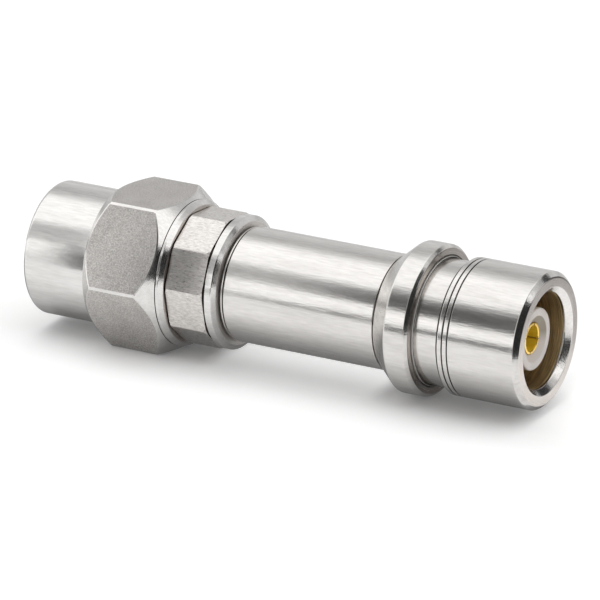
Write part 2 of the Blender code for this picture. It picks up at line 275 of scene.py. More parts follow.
def band(tree, value, low, high, start=0.0, end=1.0):
    """Eases from one number to another while the value runs from low to high."""
    inputs = {0: value, 1: low, 2: high, 3: start, 4: end}
    return node(tree, "ShaderNodeMapRange", inputs, interpolation_type="SMOOTHSTEP").outputs[0]


# Finishes.


def start_finish(name):
    """A new node material, its tree, and its object coordinates in millimetres."""
    made = bpy.data.materials.new(name)
    made.use_nodes = True
    tree = made.node_tree
    tree.nodes.clear()
    place = node(tree, "ShaderNodeTexCoord").outputs["Object"]
    millimetres = node(tree, "ShaderNodeMapping", {"Vector": place, "Scale": (1000, 1000, 1000)}).outputs[0]
    return made, tree, millimetres


def noise(tree, place, scale, stretch=(1, 1, 1), detail=3.0, roughness=0.55):
    """Noise on stretched millimetre coordinates, from 0 to 1."""
    spread = node(tree, "ShaderNodeMapping", {"Vector": place, "Scale": stretch}).outputs[0]
    inputs = {"Vector": spread, "Scale": scale, "Detail": detail, "Roughness": roughness}
    return node(tree, "ShaderNodeTexNoise", inputs).outputs[0]


def shade(made, tree, colour, roughness, height, depth, metallic=1.0, **numbers):
    """Ends a finish with a Principled shader. The depth of its bump is in millimetres."""
    bump = node(tree, "ShaderNodeBump", {"Height": height, "Strength": 1.0, "Distance": depth * MM})
    inputs = {"Base Color": colour, "Roughness": roughness, "Normal": bump.outputs[0], "Metallic": metallic}
    shader = node(tree, "ShaderNodeBsdfPrincipled", inputs)
    for key, value in numbers.items():
        shader.inputs[key.replace("_", " ")].default_value = value
    node(tree, "ShaderNodeOutputMaterial", {"Surface": shader.outputs[0]})
    return made


def blended(tree, factor, low, high, spread=0.25):
    """A colour between two, by a factor from 0 to 1. A smaller spread gives more contrast."""
    return ramp(tree, factor, [(0.5 - spread, low), (0.5 + spread, high)])


def satin_side(name, low, high, smooth, rough, depth=0.0024):
    """Turned and drawn steel: long streaks and short strokes along the axis, and faint rings."""
    made, tree, place = start_finish(name)
    streaks = noise(tree, place, 8.5, stretch=(0.07, 1, 1), detail=4.0, roughness=0.65)
    strokes = noise(tree, place, 8.0, stretch=(0.16, 1, 1), detail=2.0)
    broad = noise(tree, place, 1.6, stretch=(0.12, 1, 1), detail=2.0)
    rings = noise(tree, place, 26.0, stretch=(1, 0.004, 0.004), detail=2.0)
    height = weighed(tree, (streaks, 0.7), (rings, 0.1), (strokes, 1.8))
    tone = weighed(tree, (broad, 0.5), (strokes, 0.5))
    colour = blended(tree, tone, low, high, spread=0.2)
    return shade(made, tree, colour, map_range(tree, streaks, smooth, rough), height, depth)


def turned_face(name, low, high, smooth, rough, depth=0.0006):
    """A face cut across the axis: fine rings about the axis, with a little wander."""
    made, tree, place = start_finish(name)
    parts = node(tree, "ShaderNodeSeparateXYZ", {0: place}).outputs
    squares = [maths(tree, "MULTIPLY", side, side) for side in (parts[1], parts[2])]
    radius = maths(tree, "SQRT", maths(tree, "ADD", *squares))
    wander = noise(tree, place, 0.8, detail=2.0)
    shift = maths(tree, "MULTIPLY", wander, 0.1)
    at = node(tree, "ShaderNodeCombineXYZ", {0: radius, 1: shift}).outputs[0]
    rings = noise(tree, at, 22.0, detail=3.0)
    colour = blended(tree, weighed(tree, (wander, 0.4), (rings, 0.6)), low, high)
    return shade(made, tree, colour, map_range(tree, rings, smooth, rough), rings, depth)


def blasted(name, low, high, smooth, rough, grain=12.0, depth=0.005, spread=0.13, along=1.0):
    """Flats blasted with fine beads: an even matt grain, drawn out along the axis where along is under 1."""
    made, tree, place = start_finish(name)
    specks = noise(tree, place, grain, stretch=(along, 1, 1), detail=2.0, roughness=0.6)
    clouds = noise(tree, place, 1.1, detail=2.0)
    tone = weighed(tree, (clouds, 0.15), (specks, 0.85))
    colour = blended(tree, tone, low, high, spread)
    return shade(made, tree, colour, map_range(tree, specks, smooth, rough), specks, depth)


def plated(name, low, high, smooth, rough, depth=0.0004, metallic=1.0, ringed=0.0):
    """Bright plating over turned metal: fine rings from the tool under it, and soft clouds."""
    made, tree, place = start_finish(name)
    rings = noise(tree, place, 24.0, stretch=(1, 0.03, 0.03), detail=2.0)
    clouds = noise(tree, place, 2.2, detail=2.0)
    height = weighed(tree, (clouds, 0.2), (rings, 0.8))
    colour = blended(tree, weighed(tree, (clouds, 1 - ringed), (rings, ringed)), low, high)
    return shade(made, tree, colour, map_range(tree, rings, smooth, rough), height, depth, metallic)


def waxy(name, low, high, below=0.0):
    """PTFE: milky, with faint rings and clouds. The share below of its tone is painted shade, darker up top
    and lighter towards its foot.
    """
    made, tree, place = start_finish(name)
    clouds = noise(tree, place, 1.4, detail=3.0)
    z = node(tree, "ShaderNodeSeparateXYZ", {0: place}).outputs[2]
    foot = band(tree, z, -0.9, 0.5, 1.0, 0.0)
    rings = noise(tree, place, 18.0, stretch=(1, 0.05, 0.05), detail=2.0)
    colour = blended(tree, weighed(tree, (clouds, 1 - below), (foot, below)), low, high)
    height = weighed(tree, (clouds, 0.3), (rings, 0.7))
    numbers = {"Subsurface_Weight": 0.1, "Subsurface_Scale": 0.2 * MM, "IOR": 1.38}
    roughness = map_range(tree, rings, 0.36, 0.5)
    return shade(made, tree, colour, roughness, height, depth=0.0012, metallic=0.0, **numbers)


def moulded(name, low, high):
    """Amber plastic with flow clouds and a fine moulded grain."""
    made, tree, place = start_finish(name)
    clouds = noise(tree, place, 1.8, detail=4.0)
    grain = noise(tree, place, 14.0, detail=2.0)
    colour = blended(tree, clouds, low, high)
    return shade(made, tree, colour, map_range(tree, grain, 0.3, 0.45), grain, depth=0.001, metallic=0.0)


# Each finish has a darker and a lighter colour, and its least and greatest roughness.
barrel_steel = satin_side("barrel_steel", (0.6, 0.583, 0.562), (0.77, 0.752, 0.73), 0.14, 0.24)
hub_steel = satin_side("hub_steel", (0.62, 0.607, 0.59), (0.78, 0.767, 0.75), 0.12, 0.2, depth=0.001)
face_steel = turned_face("face_steel", (0.5, 0.46, 0.43), (0.7, 0.655, 0.62), 0.22, 0.34)
# Painted shade: a darker turned face for the flange's rear face.
dull_face = turned_face("dull_face", (0.32, 0.295, 0.272), (0.58, 0.535, 0.497), 0.2, 0.32)
# Painted highlight: a pale face for thin rings that should show a bright line.
pale_face = turned_face("pale_face", (0.66, 0.635, 0.61), (0.84, 0.81, 0.78), 0.4, 0.54)
flat_steel = blasted(
    "flat_steel", (0.4, 0.382, 0.365), (0.7, 0.675, 0.65), 0.36, 0.5, grain=15.0, depth=0.004
)
wrench_steel = blasted(
    "wrench_steel",
    (0.54, 0.517, 0.493),
    (0.77, 0.742, 0.715),
    0.24,
    0.34,
    grain=15.0,
    depth=0.0018,
    spread=0.14,
    along=0.3,
)
# Painted shade: near-black steel for the undercut and the joints between pieces, where shade falls.
grimed_steel = blasted("grimed_steel", (0.03, 0.028, 0.026), (0.12, 0.11, 0.1), 0.5, 0.7)
# Painted shade: dark steel for the fine grooves and the scribed lines, where shade falls.
scribed_steel = blasted("scribed_steel", (0.06, 0.056, 0.052), (0.18, 0.168, 0.156), 0.3, 0.45)
bright_gold = plated("bright_gold", (0.9, 0.57, 0.11), (1.0, 0.75, 0.25), 0.12, 0.22)
bore_gold = plated("bore_gold", (0.95, 0.7, 0.05), (1.0, 0.82, 0.1), 0.3, 0.44, depth=0.0012, metallic=0.5)
dark_bronze = plated(
    "dark_bronze",
    (0.28, 0.205, 0.1),
    (0.96, 0.74, 0.4),
    0.26,
    0.38,
    depth=0.0024,
    metallic=0.9,
    ringed=0.85,
)
white_ptfe = waxy("white_ptfe", (0.62, 0.573, 0.54), (0.74, 0.69, 0.655))
# Painted shade: the dish's PTFE, darker than the white and darker towards its top.
shaded_ptfe = waxy("shaded_ptfe", (0.35, 0.305, 0.25), (0.64, 0.59, 0.55), below=0.7)
# Painted light: the wall of the PTFE's hole, seen through the socket's slits, coloured bright gold so that
# the slits show little shade.
bore_ptfe = waxy("bore_ptfe", (0.7, 0.5, 0.12), (0.85, 0.62, 0.18))
amber = moulded("amber", (0.5, 0.26, 0.06), (0.7, 0.42, 0.12))


# Shapes.


def eased(points, closed=True):
    """Rounds each corner that has an ease, with support points beside it so that shading stays true."""
    made = []
    count = len(points)
    for number, point in enumerate(points):
        here = Vector(point[:2])
        ease = point[2] if len(point) > 2 else 0
        if not ease or (not closed and number in (0, count - 1)):
            made.append(here)
            continue
        before = Vector(points[number - 1][:2]) - here
        after = Vector(points[(number + 1) % count][:2]) - here
        reach = min(ease, before.length * CORNER_SHARE, after.length * CORNER_SHARE)
        start = here + before.normalized() * reach
        end = here + after.normalized() * reach
        if before.length > 4 * SUPPORT + ease:
            made.append(start + before.normalized() * SUPPORT)
        for facet in range(CORNER_FACETS + 1):
            t = facet / CORNER_FACETS
            made.append(start * (1 - t) ** 2 + here * 2 * t * (1 - t) + end * t ** 2)
        if after.length > 4 * SUPPORT + ease:
            made.append(end + after.normalized() * SUPPORT)
    return made


def at_frame(x):
    """A station in the frame's metres."""
    return (x - MIDDLE) * MM


def outline_object(name, points):
    """An object whose mesh is a chain of points (x, 0, r), which the trees below read by index."""
    data = bpy.data.meshes.new(name)
    vertices = [(at_frame(x), 0, r * MM) for x, r in points]
    data.from_pydata(vertices, [(n, n + 1) for n in range(len(points) - 1)], [])
    made = bpy.data.objects.new(name, data)
    bpy.context.scene.collection.objects.link(made)
    return made


def new_tree(name, sockets):
    """A geometry tree with a geometry input and output and other named inputs. Returns it and its inputs."""
    tree = bpy.data.node_groups.new(name, "GeometryNodeTree")
    tree.interface.new_socket("Geometry", in_out="INPUT", socket_type="NodeSocketGeometry")
    for label, kind in sockets:
        tree.interface.new_socket(label, in_out="INPUT", socket_type=kind)
    tree.interface.new_socket("Geometry", in_out="OUTPUT", socket_type="NodeSocketGeometry")
    return tree, tree.nodes.new("NodeGroupInput").outputs


def sampled_grid(tree, given, columns):
    """A grid whose points read the outline. Returns it, and each point's column number and place."""
    grid = node(tree, "GeometryNodeMeshGrid", {"Vertices X": columns, "Vertices Y": given["Rows"]})
    index = tree.nodes.new("GeometryNodeInputIndex").outputs[0]
    column = maths(tree, "FLOOR", maths(tree, "DIVIDE", maths(tree, "ADD", index, 0.5), given["Rows"]))
    row = maths(tree, "SUBTRACT", index, maths(tree, "MULTIPLY", column, given["Rows"]))
    size = node(tree, "GeometryNodeAttributeDomainSize", {0: given["Geometry"]})
    row = maths(tree, "MODULO", row, size.outputs["Point Count"])
    position = tree.nodes.new("GeometryNodeInputPosition").outputs[0]
    inputs = {"Geometry": given["Geometry"], "Value": position, "Index": row}
    sample = node(tree, "GeometryNodeSampleIndex", inputs, data_type="FLOAT_VECTOR", domain="POINT")
    return grid.outputs[0], column, node(tree, "ShaderNodeSeparateXYZ", {0: sample.outputs[0]}).outputs


def wound(tree, grid, x, radius, angle, given):
    """Puts the grid's points round the X axis and closes the seam and the poles."""
    y = maths(tree, "MULTIPLY", radius, maths(tree, "SINE", angle))
    z = maths(tree, "MULTIPLY", radius, maths(tree, "COSINE", angle))
    place = node(tree, "ShaderNodeCombineXYZ", {0: x, 1: y, 2: z}).outputs[0]
    moved = node(tree, "GeometryNodeSetPosition", {"Geometry": grid, "Position": place}).outputs[0]
    inputs = {"Geometry": moved, "Distance": given["Weld"]}
    return node(tree, "GeometryNodeMergeByDistance", inputs).outputs[0]


def close_tree(tree, geometry, side, face=None):
    """Ends a tree in Realize Instances and Set Material, with its own finish on faces square to the axis."""
    out = node(tree, "GeometryNodeRealizeInstances", {"Geometry": geometry}).outputs[0]
    out = node(tree, "GeometryNodeSetMaterial", {"Geometry": out, "Material": side}).outputs[0]
    if face:
        normal = tree.nodes.new("GeometryNodeInputNormal").outputs[0]
        along = maths(tree, "ABSOLUTE", node(tree, "ShaderNodeSeparateXYZ", {0: normal}).outputs[0])
        square = maths(tree, "GREATER_THAN", along, SQUARE)
        inputs = {"Geometry": out, "Selection": square, "Material": face}
        out = node(tree, "GeometryNodeSetMaterial", inputs).outputs[0]
    node(tree, "NodeGroupOutput", {0: out})
    return tree


def turning_tree():
    """Turns an outline on the lathe."""
    sockets = [
        ("Rows", "NodeSocketInt"),
        ("Steps", "NodeSocketInt"),
        ("Weld", "NodeSocketFloat"),
        ("Side finish", "NodeSocketMaterial"),
        ("Face finish", "NodeSocketMaterial"),
    ]
    tree, given = new_tree("turned_on_a_lathe", sockets)
    grid, column, point = sampled_grid(tree, given, maths(tree, "ADD", given["Steps"], 1))
    angle = maths(tree, "DIVIDE", maths(tree, "MULTIPLY", column, math.tau), given["Steps"])
    solid = wound(tree, grid, point[0], point[2], angle, given)
    return close_tree(tree, solid, given["Side finish"], given["Face finish"])


def threading_tree():
    """Winds a ridge of a given section along a helix. It swells from nothing and dies away at its ends."""
    sockets = [
        ("Rows", "NodeSocketInt"),
        ("Steps", "NodeSocketInt"),
        ("Weld", "NodeSocketFloat"),
        ("Pitch", "NodeSocketFloat"),
        ("Turns", "NodeSocketFloat"),
        ("Wall radius", "NodeSocketFloat"),
        ("Start", "NodeSocketFloat"),
        ("Run-out turns", "NodeSocketFloat"),
        ("Finish", "NodeSocketMaterial"),
    ]
    tree, given = new_tree("thread_ridge", sockets)
    last = maths(tree, "MULTIPLY", given["Turns"], given["Steps"])
    grid, column, point = sampled_grid(tree, given, maths(tree, "ADD", last, 1))
    turns = maths(tree, "DIVIDE", column, given["Steps"])
    left = maths(tree, "SUBTRACT", given["Turns"], turns)
    swell = maths(tree, "DIVIDE", maths(tree, "MINIMUM", turns, left), given["Run-out turns"])
    swell = maths(tree, "SQRT", node(tree, "ShaderNodeClamp", {0: swell}).outputs[0])
    x = maths(tree, "MULTIPLY_ADD", turns, given["Pitch"], given["Start"])
    x = maths(tree, "MULTIPLY_ADD", point[0], swell, x)
    radius = maths(tree, "MULTIPLY_ADD", point[2], swell, given["Wall radius"])
    ridge = wound(tree, grid, x, radius, maths(tree, "MULTIPLY", turns, math.tau), given)
    return close_tree(tree, ridge, given["Finish"])


def ring_tree():
    """Sets copies of a piece evenly round the X axis."""
    sockets = [
        ("Count", "NodeSocketInt"),
        ("First turn", "NodeSocketFloat"),
        ("Finish", "NodeSocketMaterial"),
    ]
    tree, given = new_tree("set_round_the_axis", sockets)
    points = node(tree, "GeometryNodeMeshLine", {"Count": given["Count"], "Offset": (0, 0, 0)}).outputs[0]
    index = tree.nodes.new("GeometryNodeInputIndex").outputs[0]
    turn = maths(tree, "MULTIPLY", maths(tree, "DIVIDE", index, given["Count"]), math.tau)
    turn = maths(tree, "ADD", turn, given["First turn"])
    rotation = node(tree, "ShaderNodeCombineXYZ", {0: turn}).outputs[0]
    inputs = {"Points": points, "Instance": given["Geometry"], "Rotation": rotation}
    copies = node(tree, "GeometryNodeInstanceOnPoints", inputs).outputs[0]
    return close_tree(tree, copies, given["Finish"])


def grown(carrier, tree, **values):
    """Runs a tree on an object, makes the result its plain mesh and drops the modifier."""
    step = carrier.modifiers.new(tree.name, "NODES")
    step.node_group = tree
    for item in tree.interface.items_tree:
        label = item.name.replace(" ", "_").replace("-", "_").lower()
        if item.in_out == "INPUT" and label in values:
            step[item.identifier] = values[label]
    bpy.context.view_layer.update()
    graph = bpy.context.evaluated_depsgraph_get()
    data = bpy.data.meshes.new_from_object(
        carrier.evaluated_get(graph), preserve_all_data_layers=True, depsgraph=graph
    )
    carrier.modifiers.remove(step)
    carrier.data = data


def trued(made, sharp=SHARP):
    """Merges doubles, turns faces outwards and sets which edges shade sharp."""
    mesh = bmesh.new()
    mesh.from_mesh(made.data)
    bmesh.ops.remove_doubles(mesh, verts=mesh.verts, dist=WELD * MM)
    bmesh.ops.dissolve_degenerate(mesh, edges=mesh.edges, dist=WELD * MM / 4)
    bmesh.ops.recalc_face_normals(mesh, faces=mesh.faces)
    mesh.to_mesh(made.data)
    mesh.free()
    made.data.shade_smooth()
    made.data.set_sharp_from_angle(angle=math.radians(sharp))
    return made


lathe = turning_tree()
threader = threading_tree()
ringer = ring_tree()


def turned(name, points, side, face, steps=STEPS, solid=False):
    """A turned piece, from its outline. A solid piece starts and ends on the axis."""
    chain = eased(points, closed=not solid)
    rows = len(chain) + (0 if solid else 1)
    made = outline_object(name, chain)
    grown(made, lathe, rows=rows, steps=steps, weld=WELD * MM, side_finish=side, face_finish=face)
    return trued(made)


def refinished(made, finish, low, high, within, beyond=0.0):
    """Gives another finish to the faces of a piece between two stations and between two radii."""
    made.data.materials.append(finish)
    last = len(made.data.materials) - 1
    for face in made.data.polygons:
        radius = math.hypot(face.center.y, face.center.z)
        if at_frame(low) < face.center.x < at_frame(high) and beyond * MM < radius < within * MM:
            face.material_index = last


def ring_of_columns(name, columns, materials, pick, sharp):
    """Skins closed columns of (x, r) points, each at its angle from +Z towards +Y.

    pick() gives the number of a face's finish.
    """
    data = bpy.data.meshes.new(name)
    rows = len(columns[0][1])
    vertices = []
    for angle, points in columns:
        vertices += [(at_frame(x), r * MM * math.sin(angle), r * MM * math.cos(angle)) for x, r in points]
    faces = []
    for column in range(len(columns)):
        here = column * rows
        there = (column + 1) % len(columns) * rows
        for row in range(rows):
            below = (row + 1) % rows
            faces.append((here + row, here + below, there + below, there + row))
    data.from_pydata(vertices, [], faces)
    made = bpy.data.objects.new(name, data)
    bpy.context.scene.collection.objects.link(made)
    for material in materials:
        data.materials.append(material)
    trued(made, sharp)
    for face in data.polygons:
        face.material_index = pick(face)
    return made


def flat_columns(sides, flat_r, corner_r, turn, per_flat):
    """Angles round a many-sided bar with broken corners, each with the skin's distance from the axis."""
    step = math.tau / sides
    edge = math.atan((corner_r / flat_r - math.cos(step / 2)) / math.sin(step / 2))
    near = FLAT_STRIP / flat_r
    flat = [-edge, -edge + near]
    flat += [(n / per_flat * 2 - 1) * (edge - near) for n in range(1, per_flat)]
    flat += [edge - near, edge]
    made = []
    for side in range(sides):
        middle = turn + side * step
        made += [(middle + a, flat_r / math.cos(a)) for a in flat]
        made.append((middle + step / 2, corner_r))
    return made


def is_round(face):
    """True where a face's middle and normal lie in one plane through the axis, as on a turned surface."""
    middle = Vector((0, face.center.y, face.center.z)).normalized()
    lean = Vector((0, face.normal.y, face.normal.z)).cross(middle).x
    return abs(lean) < ROUND_LEAN


# Pieces.


def make_nut():
    """The coupling nut: round nose, hexagon ended by cones, hub, and the bore for the thread's ridge."""
    run = math.tan(CHAMFER)
    foot_r = HUB_R + CONE_FOOT
    front = eased(
        [
            (MOUTH_BREAK, ROOT_R),
            (0, MOUTH_R, 0.05),
            (0, NOSE_R - NOSE_BREAK_R, 0.06),
            (NOSE_BREAK_X, NOSE_R, 0.1),
            (NOSE_LENGTH, NOSE_R, 0.05),
            (NOSE_LENGTH, HUB_R, 0.03),
            (NOSE_LENGTH + CONE_FOOT / run, foot_r),
        ],
        closed=False,
    )
    line_r = HUB_R - HUB_LINE_DEPTH
    rear = eased(
        [
            (HEX_REAR - CONE_FOOT / run, foot_r),
            (HEX_REAR, HUB_R),
            (HEX_REAR + HAIR, line_r),
            (HEX_REAR + HUB_LINE, line_r),
            (HEX_REAR + HUB_LINE, HUB_R, 0.01),
            (NUT_REAR - HUB_BREAK, HUB_R, 0.02),
            (NUT_REAR, HUB_R - HUB_BREAK, 0.03),
            (NUT_REAR, NUT_BORE_R + NUT_BORE_BREAK, 0.03),
            (NUT_REAR - NUT_BORE_BREAK, NUT_BORE_R),
            (GROOVE_REAR, NUT_BORE_R),
            (GROOVE_REAR, NUT_GROOVE_R),
            (GROOVE_FRONT, NUT_GROOVE_R),
            (GROOVE_FRONT, NUT_BORE_R),
            (RELIEF_END, NUT_BORE_R, 0.03),
            (RELIEF_END, ROOT_R),
        ],
        closed=False,
    )
    edge_x = HEX_EDGE * math.cos(CHAMFER)
    edge_r = HEX_EDGE * math.sin(CHAMFER)
    columns = []
    for angle, skin_r in flat_columns(NUT_FLATS, FLAT_R, CORNER_R, 0, NUT_STRIPS):
        lead = (skin_r - HUB_R) / run
        cone_front = NOSE_LENGTH + lead
        cone_rear = HEX_REAR - lead
        points = [tuple(p) for p in front]
        points += [(cone_front - edge_x, skin_r - edge_r), (cone_front + HEX_EDGE, skin_r)]
        points += [(cone_rear - HEX_EDGE, skin_r), (cone_rear + edge_x, skin_r - edge_r)]
        points += [tuple(p) for p in rear]
        columns.append((angle, points))

    finishes = [hub_steel, face_steel, flat_steel]
    half_corner = math.atan(CORNER_HALF / CORNER_R)
    least, most = EDGE_LEAN

    def pick(face):
        lean = abs(face.normal.x)
        if lean > SQUARE:
            return 1
        angle = math.atan2(face.center.y, face.center.z) % (math.tau / NUT_FLATS)
        off_corner = abs(angle - math.pi / NUT_FLATS)
        return 0 if is_round(face) or off_corner < half_corner or least < lean < most else 2

    made = ring_of_columns("threaded_nut", columns, finishes, pick, NUT_SHARP)
    # The hub's fine line gets painted shade.
    refinished(made, scribed_steel, HEX_REAR, HEX_REAR + HUB_LINE + HAIR, HUB_R - HAIR, line_r - 2 * HAIR)
    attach(made, "nut")
    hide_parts("coupling_nut")


def make_thread():
    """The thread's ridge, wound by its tree and let a little into the nut's wall."""
    height = ROOT_R - CREST_R
    # Half of the ridge's section: the crest, its broken corner, the foot, and the part let into the wall.
    half = [
        (0.05, -height),
        (0.08, -height + 0.02),
        (0.28, 0.0),
        (0.31, 0.03),
    ]
    section = [(-x, r) for x, r in reversed(half)] + half
    made = outline_object("nut_thread", [(x + MIDDLE, r) for x, r in section])
    grown(
        made,
        threader,
        rows=len(section) + 1,
        steps=THREAD_STEPS,
        weld=WELD * MM,
        pitch=PITCH * MM,
        turns=THREAD_LENGTH / PITCH,
        wall_radius=ROOT_R * MM,
        start=at_frame(THREAD_START),
        run_out_turns=RUN_OUT_TURNS,
        finish=hub_steel,
    )
    trued(made)
    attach(made, "nut")


def make_plug():
    """The gold outer contact, its white insulator and the pointed pin."""
    shell = turned(
        "outer_contact",
        [
            (PLANE, LINE_R, 0.03),
            (PLANE, TIP_R, 0.05),
            (TIP_END, TIP_R),
            (TIP_END, SHELL_R, 0.05),
            (GROOVE_FRONT, SHELL_R),
            (GROOVE_FRONT, SHELL_GROOVE_R),
            (GROOVE_REAR, SHELL_GROOVE_R),
            (GROOVE_REAR, SHELL_R),
            (SHELL_REAR, SHELL_R),
            (SHELL_REAR, LINE_R),
        ],
        bright_gold,
        bright_gold,
    )
    ptfe = turned(
        "plug_dielectric",
        [
            (PLANE + GAP, PIN_R + SLIP, 0.03),
            (PLANE + GAP, LINE_R - SLIP, 0.05),
            (SHELL_REAR, LINE_R - SLIP),
            (SHELL_REAR, PIN_CORE_R + SLIP),
            (PIN_SHOULDER, PIN_CORE_R + SLIP),
            (PIN_SHOULDER, PIN_R + SLIP),
        ],
        white_ptfe,
        white_ptfe,
    )
    pin = turned(
        "pointed_pin",
        [
            (PIN_TIP, 0),
            (PIN_TIP, PIN_TIP_R, 0.05),
            (PIN_TIP + PIN_POINT, PIN_R, 0.08),
            (PIN_SHOULDER + GAP, PIN_R),
            (PIN_SHOULDER + GAP, PIN_CORE_R),
            (SHELL_REAR + GAP, PIN_CORE_R),
            (SHELL_REAR + GAP, ROD_R),
            (PIN_DISC_REAR, ROD_R),
            (PIN_DISC_REAR, STUB_R),
            (PIN_REAR, STUB_R),
            (PIN_REAR, 0),
        ],
        bright_gold,
        bright_gold,
        steps=THIN_STEPS,
        solid=True,
    )
    for made, replaced, slot in (
        (shell, "plug_shell", "gold_plate"),
        (ptfe, "plug_insulator", "white_ptfe"),
        (pin, "centre_pin", "gold_plate"),
    ):
        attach(made, "adapter")
        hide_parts(replaced)


def make_wrench_body():
    """The body with ten flats: its corners die into a cone at the collar, and the flats end at its wall."""
    seat_r = SHELL_R + SLIP
    rear = eased(
        [
            (COLLAR_FRONT, COLLAR_R - WRENCH_EDGE),
            (COLLAR_FRONT + WRENCH_EDGE, COLLAR_R),
            (COLLAR_REAR - COLLAR_CONE_X, COLLAR_R, 0.03),
            (COLLAR_REAR, COLLAR_R - COLLAR_CONE_R, 0.02),
            (COLLAR_REAR, SPIGOT_R),
            (WRENCH_SPIGOT, SPIGOT_R),
            (WRENCH_SPIGOT, LINE_R),
            (SHELL_REAR + GAP, LINE_R),
            (SHELL_REAR + GAP, seat_r),
            (WRENCH_FRONT, seat_r),
        ],
        closed=False,
    )
    columns = []
    skin = flat_columns(WRENCH_FLATS, WRENCH_FLAT_R, WRENCH_CORNER_R, WRENCH_TURN, WRENCH_STRIPS)
    for angle, skin_r in skin:
        proud = max(0.0, skin_r - COLLAR_R)
        points = [
            (WRENCH_FRONT, min(skin_r, COLLAR_R) - WRENCH_EDGE),
            (WRENCH_FRONT + WRENCH_EDGE + proud, skin_r),
            (UNDERCUT_FRONT - WRENCH_CORNER_CONE * proud - HAIR, skin_r),
            (UNDERCUT_FRONT, min(skin_r, COLLAR_R - WRENCH_EDGE)),
            (UNDERCUT_FRONT + HAIR, UNDERCUT_R),
            (COLLAR_FRONT, UNDERCUT_R),
        ]
        columns.append((angle, points + [tuple(p) for p in rear]))

    finishes = [hub_steel, face_steel, wrench_steel]

    def pick(face):
        if abs(face.normal.x) > SQUARE:
            return 1
        return 0 if face.center.x > at_frame(COLLAR_FRONT) else 2

    made = ring_of_columns("ten_flat_body", columns, finishes, pick, WRENCH_SHARP)
    # The undercut before the collar gets painted shade.
    refinished(made, grimed_steel, UNDERCUT_FRONT, COLLAR_FRONT + HAIR, WRENCH_FLAT_R - HAIR)
    # The collar's rear face gets a painted highlight.
    refinished(made, pale_face, COLLAR_REAR - HAIR, COLLAR_REAR + HAIR, COLLAR_R)
    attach(made, "adapter")
    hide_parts("wrench_body")


def make_barrel():
    """The long barrel, with a groove, a land and a groove at its seam."""
    made = turned(
        "long_barrel",
        [
            (BARREL_FRONT, SPIGOT_R + SLIP),
            (BARREL_FRONT, GROOVE_R),
            (LAND_FRONT, GROOVE_R, 0.01),
            (LAND_FRONT, LAND_R, 0.03),
            (LAND_REAR, LAND_R, 0.03),
            (LAND_REAR, GROOVE_R, 0.01),
            (SEAM_REAR, GROOVE_R, 0.01),
            (SEAM_REAR, BARREL_R, 0.05),
            (BARREL_REAR, BARREL_R, 0.05),
            (BARREL_REAR, SPIGOT_R + SLIP),
            (THICK_REAR, SPIGOT_R + SLIP),
            (THICK_REAR, LINE_R),
            (THICK_FRONT, LINE_R),
            (THICK_FRONT, SPIGOT_R + SLIP),
        ],
        barrel_steel,
        face_steel,
    )
    # The grooves at the seam get painted shade.
    refinished(made, scribed_steel, BARREL_FRONT, SEAM_REAR + HAIR, LAND_R - GAP)
    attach(made, "adapter")
    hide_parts("barrel_tube")


